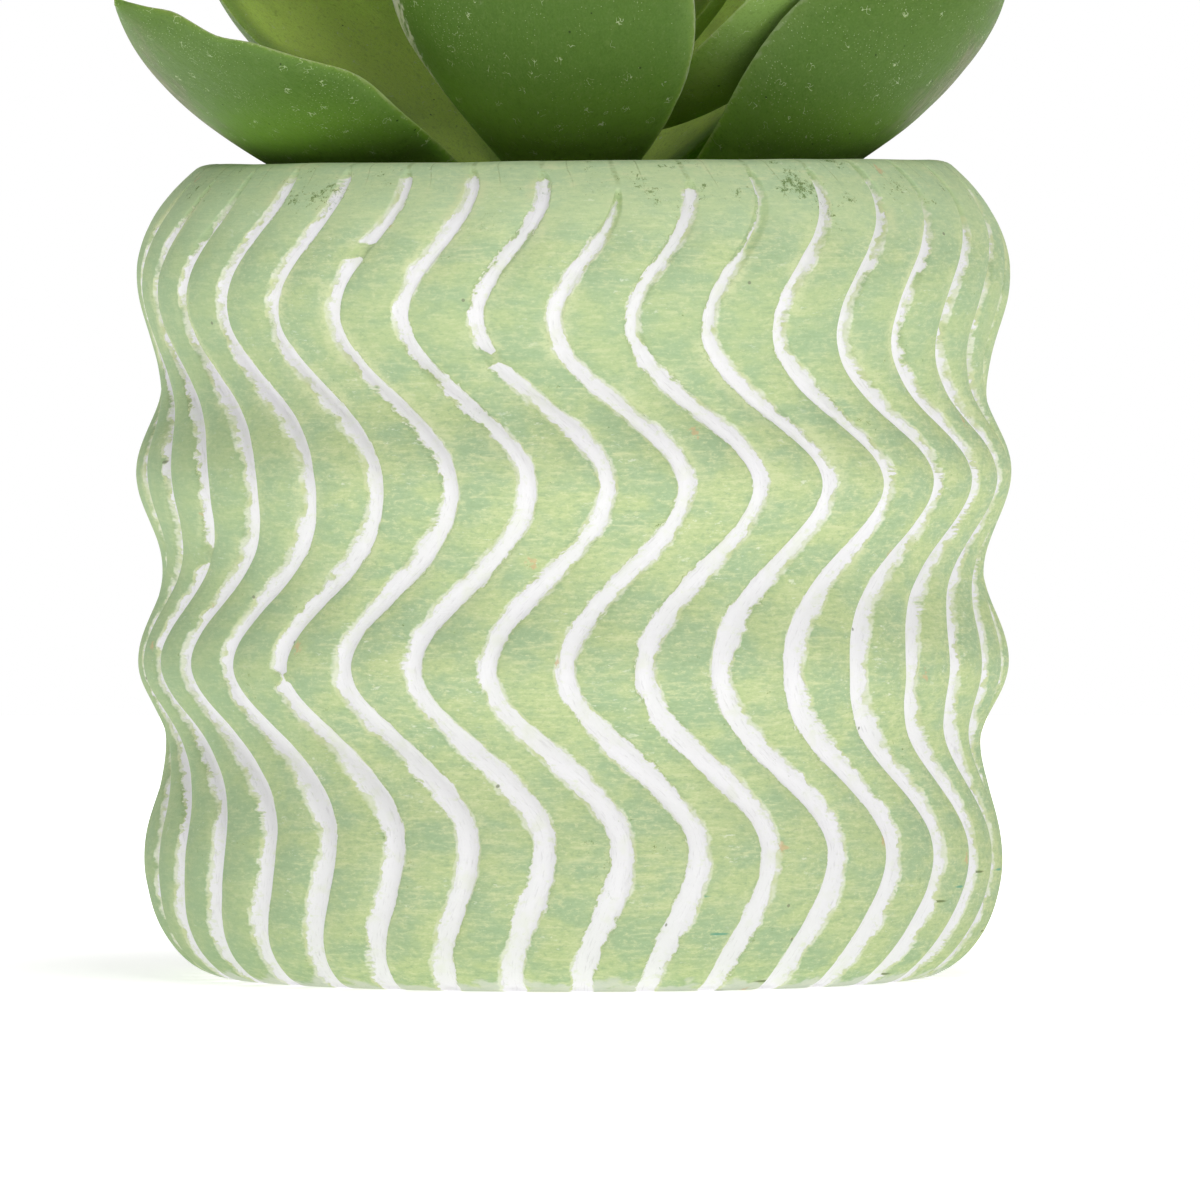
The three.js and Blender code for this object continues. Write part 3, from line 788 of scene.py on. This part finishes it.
def leaf(name, form, seed, material):
    """A moulded boat-shaped leaf, bent, cupped and turned as its solid is."""
    piece = tube_blank(name + "_moulded", LEAF_SIDES, LEAF_ROWS)
    row, turn_round, open_here = rows_and_turns(piece, LEAF_ROWS)
    t = np.clip((row - 1) / (LEAF_ROWS - 1), 0, 1)
    s = 1 - (1 - t) ** ROW_CROWDING
    a = -turn_round
    a = a - EDGE_CROWDING * np.sin(2 * a)
    sin_a, cos_a = np.sin(a), np.cos(a)

    # The line that runs up the middle of the leaf.
    length, width, thick = form["length"], form["width"], form["thick"]
    rise, end = math.radians(form["rise"]), math.radians(form["tip_rise"])
    angle = rise + (end - rise) * s
    inner = LEAF_INNER * ROOT_THICKNESS * thick
    start = form.get("seat", STEM_RADIUS + LEAF_SEAT + inner * math.sin(rise))
    middle = np.stack([start + length * (np.sin(angle) - math.sin(rise)) / (end - rise),
                       form.get("lean", 0) * length * s**2,
                       form["z"] - length * (np.cos(angle) - math.cos(rise)) / (end - rise)], 1)

    # Its section there: how far to the side each point lies, and how far to the back.
    local = np.stack([length * s, 10 * cos_a, 10 * sin_a], 1)
    half = width / 2 * leaf_outline(s, form["base"], form["widest"])
    depth = np.minimum(thick * leaf_thickness(s), EDGE_BULGE * half)
    half = np.maximum(half - LEAF_SKIN - FLASH_HEIGHT, 0)
    half = half * (1 + EDGE_WAVER * noise_at(local, 9, seed))
    flash = np.exp(-((sin_a / FLASH_SPREAD) ** 2)) * (0.6 + 0.4 * noise_at(local, 1.3, seed + 1))
    half = half + FLASH_HEIGHT * flash * ease((1 - s) / FLASH_END)
    share = np.where(sin_a > 0, 1 - LEAF_INNER, LEAF_INNER)
    swell = share * np.sign(sin_a) * np.abs(sin_a) ** LEAF_ROUNDNESS
    dent = 1 - LEAF_DENTS * (1 + noise_at(local, 7, seed + 2))
    back = depth * dent * swell - form["cup"] * half * cos_a**2
    across = half * cos_a
    for side, at, spread, height in form.get("curls", ()):
        near_edge = np.clip(side * cos_a, 0, 1) ** 3
        back = back - height * near_edge * np.exp(-(((s - at) / spread) ** 2))
    across = np.where(open_here, across, 0)
    back = np.where(open_here, back, 0)

    turn = np.radians(form.get("roll", 0) + form.get("twist", 0) * s)[:, None]
    outward = np.stack([np.sin(angle), 0 * s, -np.cos(angle)], 1)
    sideways = np.array([[0.0, 1.0, 0.0]])
    points = (middle + across[:, None] * (sideways * np.cos(turn) + outward * np.sin(turn))
              + back[:, None] * (outward * np.cos(turn) - sideways * np.sin(turn)))
    face_to = math.radians(form["azimuth"] - 90)
    x, y, z = points.T
    points = np.stack([x * math.cos(face_to) - y * math.sin(face_to),
                       x * math.sin(face_to) + y * math.cos(face_to), z], 1)
    place_all(piece, points)

    mark(piece, "leaf", np.stack([across, length * s + 90 * seed, half * (1 - np.abs(cos_a))], 1))
    mark(piece, "reach", s)
    mark(piece, "face", sin_a)
    seam_side, seam = form.get("seam", (1, PLAIN_SEAM))
    mark(piece, "seam", np.where(seam_side * cos_a > 0, seam, PLAIN_SEAM))
    # The rub and its painted sheen are strongest on the part of each ring that stands out most to that
    # side.
    aside, up = SHEEN_AND_RUB_SIDE
    stands_out = points @ (math.copysign(aside, math.sin(math.radians(form["azimuth"]))), 0, up)
    furthest = np.full(LEAF_ROWS + 1, -np.inf)
    np.maximum.at(furthest, row, stands_out)
    sheen_and_rub = np.exp(-(((furthest[row] - stands_out) / SHEEN_AND_RUB_DEPTH) ** 2)
                 - ((s - form.get("sheen_and_rub", SHEEN_AND_RUB_PLACE)) / SHEEN_AND_RUB_SPREAD) ** 2)
    mark(piece, "sheen_and_rub", sheen_and_rub * (1 if "sheen_and_rub" in form else SHEEN_AND_RUB_FAINT))
    fit_out(piece, name, material)


def wax(name, root, body, pale, inner):
    """Soft moulded skin: painted light at the root and partly on the yellower inner side; pale edges and
    tip.
    """
    coat = Coat(name)
    reach = coat.read("reach")["Fac"]
    face = coat.read("face")["Fac"]
    skin = coat.read("leaf")["Vector"]  # millimetres across the leaf, along it, and in from its edge
    rim = coat.split(skin)[2]
    height = coat.split(coat.place)[2]
    # The root, low down near the rim, is lighter: painted light that lifts the shade there.
    off_lit_root = coat.math("MINIMUM", coat.rise(reach, 0.28, 0.5), coat.rise(height, 83, 91, 0.2, 1.0))
    colour = coat.mix(off_lit_root, root, body)
    edge_share = coat.times(coat.rise(rim, 2.5, 0.0), coat.rise(reach, 0.2, 0.7, 0.1, 0.45))
    colour = coat.mix(edge_share, colour, pale)
    colour = coat.mix(coat.rise(reach, 0.65, 1.0, 0, 0.32), colour, pale)
    # Yellower on the inner side: partly its own colour, partly painted light that comes through the
    # leaf.
    inside = coat.times(coat.rise(face, 0.05, -0.3), coat.rise(rim, 0.8, 5.0, 0.3, 1.0))
    colour = coat.mix(coat.times(inside, 0.9), colour, inner)
    clouds = coat.noise(coat.place, 0.1, 3)
    colour = coat.mix(coat.rise(clouds, 0.42, 0.7, 0, 0.35), colour, body)
    grains = coat.noise(skin, 3.6, 3, 0.8)
    colour = coat.mix(coat.rise(grains, 0.5, 0.7, 0, 0.28), colour, pale)
    colour = coat.mix(coat.rise(grains, 0.5, 0.3, 0, 0.35), colour, DARK_GRAIN)
    mottle = coat.noise(skin, 1.1, 4, 0.7)
    colour = coat.mix(coat.rise(mottle, 0.52, 0.7, 0, 0.3), colour, pale)
    colour = coat.mix(coat.rise(mottle, 0.46, 0.3, 0, 0.3), colour, DARK_MOTTLE)
    colour = scuffs_and_sheen(coat, colour, skin, face)
    colour = lint(coat, colour, skin)

    grain = coat.noise(coat.stretch(3.0, 0.25, 3.0, skin), 1.0, 3)
    waves = coat.noise(coat.place, 0.5, 2)
    fine = coat.noise(coat.place, 4.0, 2)
    normal = coat.bump(coat.add(coat.times(grain, 0.3), waves, coat.times(fine, 0.15)), 0.12)
    coat.shader.inputs["Subsurface Radius"].default_value = (0.8, 1.0, 0.3)
    return coat.set(base_color=colour, roughness=0.58, normal=normal, specular_ior_level=0.2,
                    subsurface_weight=0.5, subsurface_scale=0.004)


def scuffs_and_sheen(coat, colour, skin, face):
    """The mould's whitish flash line along the edges, and dull streaks where a leaf was rubbed, with
    painted sheen.
    """
    seam = coat.read("seam")["Fac"]
    frayed = coat.swing(coat.stretch(2.0, 0.7, 1.0, skin), 1.0, 0.08, 3)
    away = coat.add(coat.math("ABSOLUTE", face), frayed, coat.times(seam, -0.32))
    threads = coat.noise(coat.stretch(3.0, 0.5, 1.0, skin), 1.0, 3, 0.7)
    threads = coat.rise(threads, 0.36, 0.56, 0.35, 1.0)
    line = coat.times(coat.rise(away, 0.08, 0.0), threads, seam)
    colour = coat.mix(line, colour, SEAM_WHITE)
    # Rubbed streaks on the lower outer side, mixed with a painted grey sheen there.
    sheen_and_rub = coat.add(coat.read("sheen_and_rub")["Fac"], coat.swing(skin, 0.25, 0.3, 4))
    fibres = coat.noise(coat.stretch(2.6, 0.45, 0.4, skin), 1.0, 4, 0.65)
    dull_and_sheen = coat.mix(coat.rise(fibres, 0.38, 0.66), SHEEN_AND_RUB_DARK, SHEEN_AND_RUB_PALE)
    return coat.mix(coat.rise(sheen_and_rub, 0.25, 1.1, 0, 0.78), colour, dull_and_sheen)


def lint(coat, colour, skin):
    """Dust: pale specks in drifts, a few curled fibres, and small pits painted dark as shade."""
    drifts = coat.rise(coat.noise(skin, 0.13, 2), 0.43, 0.62, 0.04, 0.6)
    dust = coat.cells(skin, 2.6)
    tones = coat.split(dust["Color"])
    chosen = coat.rise(coat.math("SUBTRACT", drifts, tones[0]), 0.0, 0.02)
    speck = coat.times(coat.rise(dust["Distance"], 0.17, 0.08), chosen,
                       coat.rise(tones[1], 0, 1, 0.15, 0.6))
    colour = coat.mix(speck, colour, DUST)

    # A fibre is a short piece of the line where the noise passes its middle.
    curl = coat.math("ABSOLUTE", coat.math("SUBTRACT", coat.noise(skin, 1.2, 1), 0.5))
    patch = coat.cells(skin, 0.5)
    chosen = coat.rise(coat.split(patch["Color"])[1], 0.6, 0.61)
    fibre = coat.times(coat.rise(curl, 0.022, 0.008), coat.rise(patch["Distance"], 0.26, 0.18),
                       chosen)
    colour = coat.mix(coat.times(fibre, 0.6), colour, FIBRE)

    # Small pits, painted dark as the shade inside them.
    pits = coat.cells(skin, 0.26)
    size = coat.split(pits["Color"])[2]
    far = coat.math("DIVIDE", pits["Distance"], coat.rise(size, 0.66, 1.0, 0.001, 0.04))
    pit_shade = coat.times(coat.rise(far, 1.0, 0.6), 0.75)
    return coat.mix(pit_shade, colour, PIT_SHADE)


def leaves():
    """Every leaf, whorl by whorl, from the spread outer ones to the heart of the bud."""
    bud = wax("bud_wax", *BUD_WAX)
    whorls = [("leaf_outer", OUTER_FORM, OUTER, "outer_leaf", wax("outer_wax", *OUTER_WAX)),
              ("leaf_middle", MIDDLE_FORM, MIDDLE, "middle_leaf", wax("middle_wax", *MIDDLE_WAX)),
              ("leaf_inner", INNER_FORM, INNER, "inner_leaf", wax("inner_wax", *INNER_WAX)),
              ("leaf_bud", BUD_FORM, BUD, "bud_leaf", bud)]
    seed = 0
    for name, shared, forms, slot_name, material in whorls:
        for number, form in enumerate(forms, 1):
            seed += 1
            leaf(f"{name}_{number}", {**shared, **form}, seed, material)
    leaf("leaf_heart", HEART_FORM, seed + 1, bud)


# --- filling and stem

SOIL_SHOULDER = SOIL_TOP - SOIL_ROUND_OFF
SOIL_SHARE = (SOIL_SHOULDER - FLOOR_THICKNESS) / (POT_HEIGHT - 1 - FLOOR_THICKNESS)
SOIL_WALL = FLOOR_RADIUS + (MOUTH_RADIUS - FLOOR_RADIUS) * SOIL_SHARE - SOIL_GAP
STEM_HOLE = STEM_RADIUS + SOIL_GAP


def soil_height(r, a):
    """Height of the filling's lumpy top, at radius r and angle a."""
    humps = SOIL_RELIEF * (np.sin(0.55 * r + 3 * a) * np.cos(0.31 * r - 5 * a) - 0.2)
    flat = polar(r, a, 0 * r)
    lumps = sum(height * noise_at(flat, size, seed) for seed, (height, size) in enumerate(SOIL_LUMPS, 1))
    return SOIL_TOP - SOIL_ROUND_OFF * (r / SOIL_WALL) ** SOIL_ROUNDNESS + humps + (lumps - SOIL_SINK)


def soil():
    """The filling: a plug that fits the pot, crumbly on top, with a hole for the stem."""
    bottom, hole_bottom = FLOOR_THICKNESS + SOIL_GAP, STEM_FOOT - SOIL_GAP
    top = [(r, SOIL_TOP) for r in np.linspace(SOIL_WALL, STEM_HOLE, SOIL_RINGS)]
    profile = np.array([(0, bottom), (FLOOR_RADIUS - SOIL_GAP, bottom), (SOIL_WALL, SOIL_SHOULDER - 1),
                        *top, (STEM_HOLE, hole_bottom), (0, hole_bottom)])
    rows = len(profile) - 1
    piece = tube_blank("soil_filling", SOIL_SIDES, rows)
    row, a, open_here = rows_and_turns(piece, rows)
    r, z = profile[row].T
    on_top = (row > 2) & (row < rows - 1)
    z = np.where(on_top, soil_height(r, a), z)
    r = np.where(open_here, r, 0)
    place_all(piece, polar(r, a, z))
    material = potting_soil()
    fit_out(piece, "soil", material)
    soil_crumbs(material)


def soil_crumbs(material):
    """Loose crumbs and grit on the filling: one lump, copied, turned, squashed and joined."""
    bpy.ops.object.select_all(action="DESELECT")
    bpy.ops.mesh.primitive_ico_sphere_add(subdivisions=2, radius=1)
    lump = bpy.context.object
    lump.name = "soil_crumbs"
    shape = places_of(lump)
    shape = shape * (1 + CRUMB_ROUGHNESS * noise_at(shape, 0.8, 31))[:, None]
    draw = random.Random(7)
    for number in range(CRUMBS):
        crumb = lump
        if number:
            crumb = lump.copy()
            crumb.data = lump.data.copy()
            bpy.context.collection.objects.link(crumb)
        size = draw.uniform(*CRUMB_SIZES) * draw.uniform(0.6, 1)
        r = math.sqrt(draw.uniform((STEM_HOLE + size) ** 2, (SOIL_WALL - size) ** 2))
        a = draw.uniform(0, TURN)
        turned = np.array(Euler([draw.uniform(0, TURN) for _ in range(3)]).to_matrix())
        lying = (shape * (1, draw.uniform(0.6, 1), draw.uniform(0.4, 0.8)) @ turned.T) * size
        height = float(soil_height(np.array(r), np.array(a))) + CRUMB_LIFT * size
        place_all(crumb, lying + (r * math.cos(a), r * math.sin(a), height))
        crumb.select_set(True)
    bpy.context.view_layer.objects.active = lump
    bpy.ops.object.join()
    bpy.ops.object.shade_smooth_by_angle(angle=math.radians(40))
    lump.data.materials.append(material)
    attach(lump, "root")


def potting_soil():
    """Dark crumbly soil with paler grit."""
    coat = Coat("potting_soil")
    clumps = coat.noise(coat.place, 0.8, 6, 0.7)
    colour = coat.mix(coat.rise(clumps, 0.35, 0.65), SOIL_DARK, SOIL_BROWN)
    grit = coat.noise(coat.place, 0.7, 2)
    colour = coat.mix(coat.rise(grit, 0.62, 0.66, 0, 0.8), colour, GRIT)
    normal = coat.bump(coat.noise(coat.place, 2.0, 6, 0.7), 0.5)
    return coat.set(base_color=colour, roughness=0.95, normal=normal, specular_ior_level=0.2)


def stem():
    """The short stem, with rings of old leaf scars."""
    shaft = [(STEM_RADIUS, z) for z in np.linspace(STEM_FOOT, STEM_SHOULDER, STEM_RINGS)]
    profile = np.array([(0, STEM_FOOT), *shaft, (STEM_NECK_RADIUS, STEM_NECK),
                        (STEM_NECK_RADIUS, STEM_TOP - STEM_EDGE),
                        (STEM_NECK_RADIUS - STEM_EDGE, STEM_TOP), (0, STEM_TOP)])
    rows = len(profile) - 1
    piece = tube_blank("stem_core", STEM_SIDES, rows)
    row, a, open_here = rows_and_turns(piece, rows)
    r, z = profile[row].T
    scars = SCAR_DEPTH * (1 + np.sin(z * SCAR_PITCH + SCAR_WAVES * np.sin(3 * a)))
    r = np.where(open_here, r - scars, 0)
    place_all(piece, polar(r, a, z))
    coat = Coat("stem_skin")
    tone = coat.noise(coat.stretch(0.4, 0.4, 1.6), 1.0, 4)
    colour = coat.mix(coat.rise(tone, 0.35, 0.65), STEM_GREEN, STEM_PALE)
    fit_out(piece, "stem", coat.set(base_color=colour, roughness=0.6))


# --- studio

def camera():
    place, aim = Vector(CAMERA_PLACE) * MM, Vector(CAMERA_AIM) * MM
    bpy.ops.object.camera_add(location=place, rotation=(aim - place).to_track_quat("-Z", "Y").to_euler())
    bpy.context.object.data.lens = CAMERA_LENS
    bpy.context.scene.camera = bpy.context.object


def lamp(name, place, power):
    place = Vector(place)
    turned = (Vector(LAMP_AIM) - place).to_track_quat("-Z", "Y").to_euler()
    bpy.ops.object.light_add(type="AREA", location=place, rotation=turned)
    light = bpy.context.object
    light.name = name
    light.data.size = LAMP_SIZE
    light.data.energy = power


def white_room():
    """A plain white room, which lights the plant more from behind than from in front."""
    world = bpy.data.worlds.new("white_room")
    bpy.context.scene.world = world
    world.use_nodes = True
    nodes, links = world.node_tree.nodes, world.node_tree.links
    light, seen = nodes["Background"], nodes.new("ShaderNodeBackground")
    where = nodes.new("ShaderNodeTexCoord").outputs["Generated"]
    split, behind = nodes.new("ShaderNodeSeparateXYZ"), nodes.new("ShaderNodeMapRange")
    links.new(where, split.inputs[0])
    links.new(split.outputs["Y"], behind.inputs["Value"])
    keys = ("From Min", "From Max", "To Min", "To Max")
    for key, value in zip(keys, (*LIGHT_TURN, FRONT_LIGHT, BACK_LIGHT)):
        behind.inputs[key].default_value = value
    links.new(behind.outputs[0], light.inputs["Strength"])
    light.inputs["Color"].default_value = ROOM_TINT
    seen.inputs["Color"].default_value = (1, 1, 1, 1)
    ray, choice = nodes.new("ShaderNodeLightPath"), nodes.new("ShaderNodeMixShader")
    links.new(ray.outputs["Is Camera Ray"], choice.inputs[0])
    links.new(light.outputs[0], choice.inputs[1])
    links.new(seen.outputs[0], choice.inputs[2])
    links.new(choice.outputs[0], nodes["World Output"].inputs[0])


def floor():
    """White paper, glowing a little more with its distance from the pot."""
    bpy.ops.mesh.primitive_plane_add(size=2 * FLOOR_REACH)
    sheet = bpy.context.object
    sheet.name = "floor"
    paper = Coat("white_paper")
    white = paper.mix(paper.noise(paper.place, 0.002, 2), *PAPER_TONES)
    away = paper.node("VectorMath", {0: paper.place}, operation="LENGTH").outputs["Value"]
    glow = paper.rise(away, *FLOOR_FADE, *FLOOR_GLOW)
    sheet.data.materials.append(paper.set(
        base_color=white, roughness=0.9, emission_color=(1, 1, 1, 1), emission_strength=glow))


def studio():
    bpy.context.scene.view_settings.view_transform = "Standard"
    white_room()
    for name, (place, power) in LAMPS.items():
        lamp(name, place, power)
    floor()


camera()
pot()
soil()
stem()
leaves()
studio()
